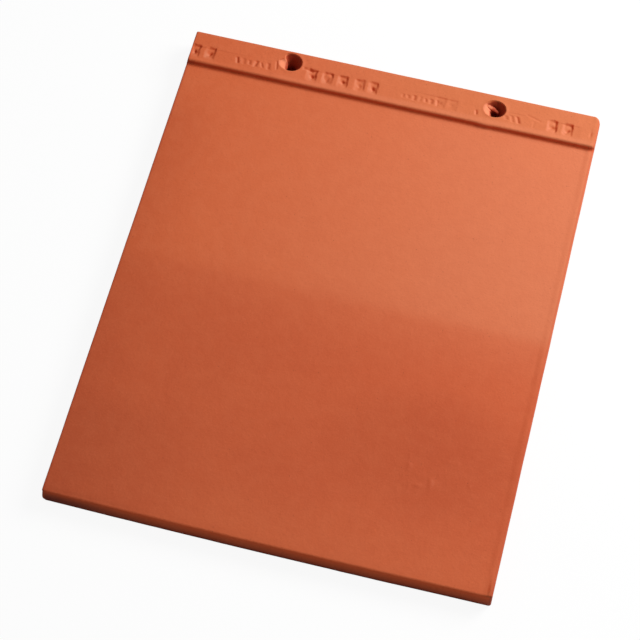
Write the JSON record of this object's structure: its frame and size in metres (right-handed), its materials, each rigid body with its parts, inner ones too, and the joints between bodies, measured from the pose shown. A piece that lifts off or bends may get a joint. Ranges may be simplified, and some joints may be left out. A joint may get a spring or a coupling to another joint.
{
  "type": "clay roof tile",
  "caption": "Large flat rectangular fired-clay roof tile with a low raised band across the head, nailed through punched holes in the band.",
  "frame": {"origin": "centre of the overall outline, on the bearing face (underside)", "axes": "+X across the width, +Y from the tail edge to the head edge with the nail holes, +Z out of the weather face"},
  "size_m": [0.28, 0.351, 0.0175],
  "materials": {
    "terracotta": "matt fired clay, fine grained, orange-red"
  },
  "bodies": {
    "root": {"tile": "terracotta"}
  },
  "joints": []
}
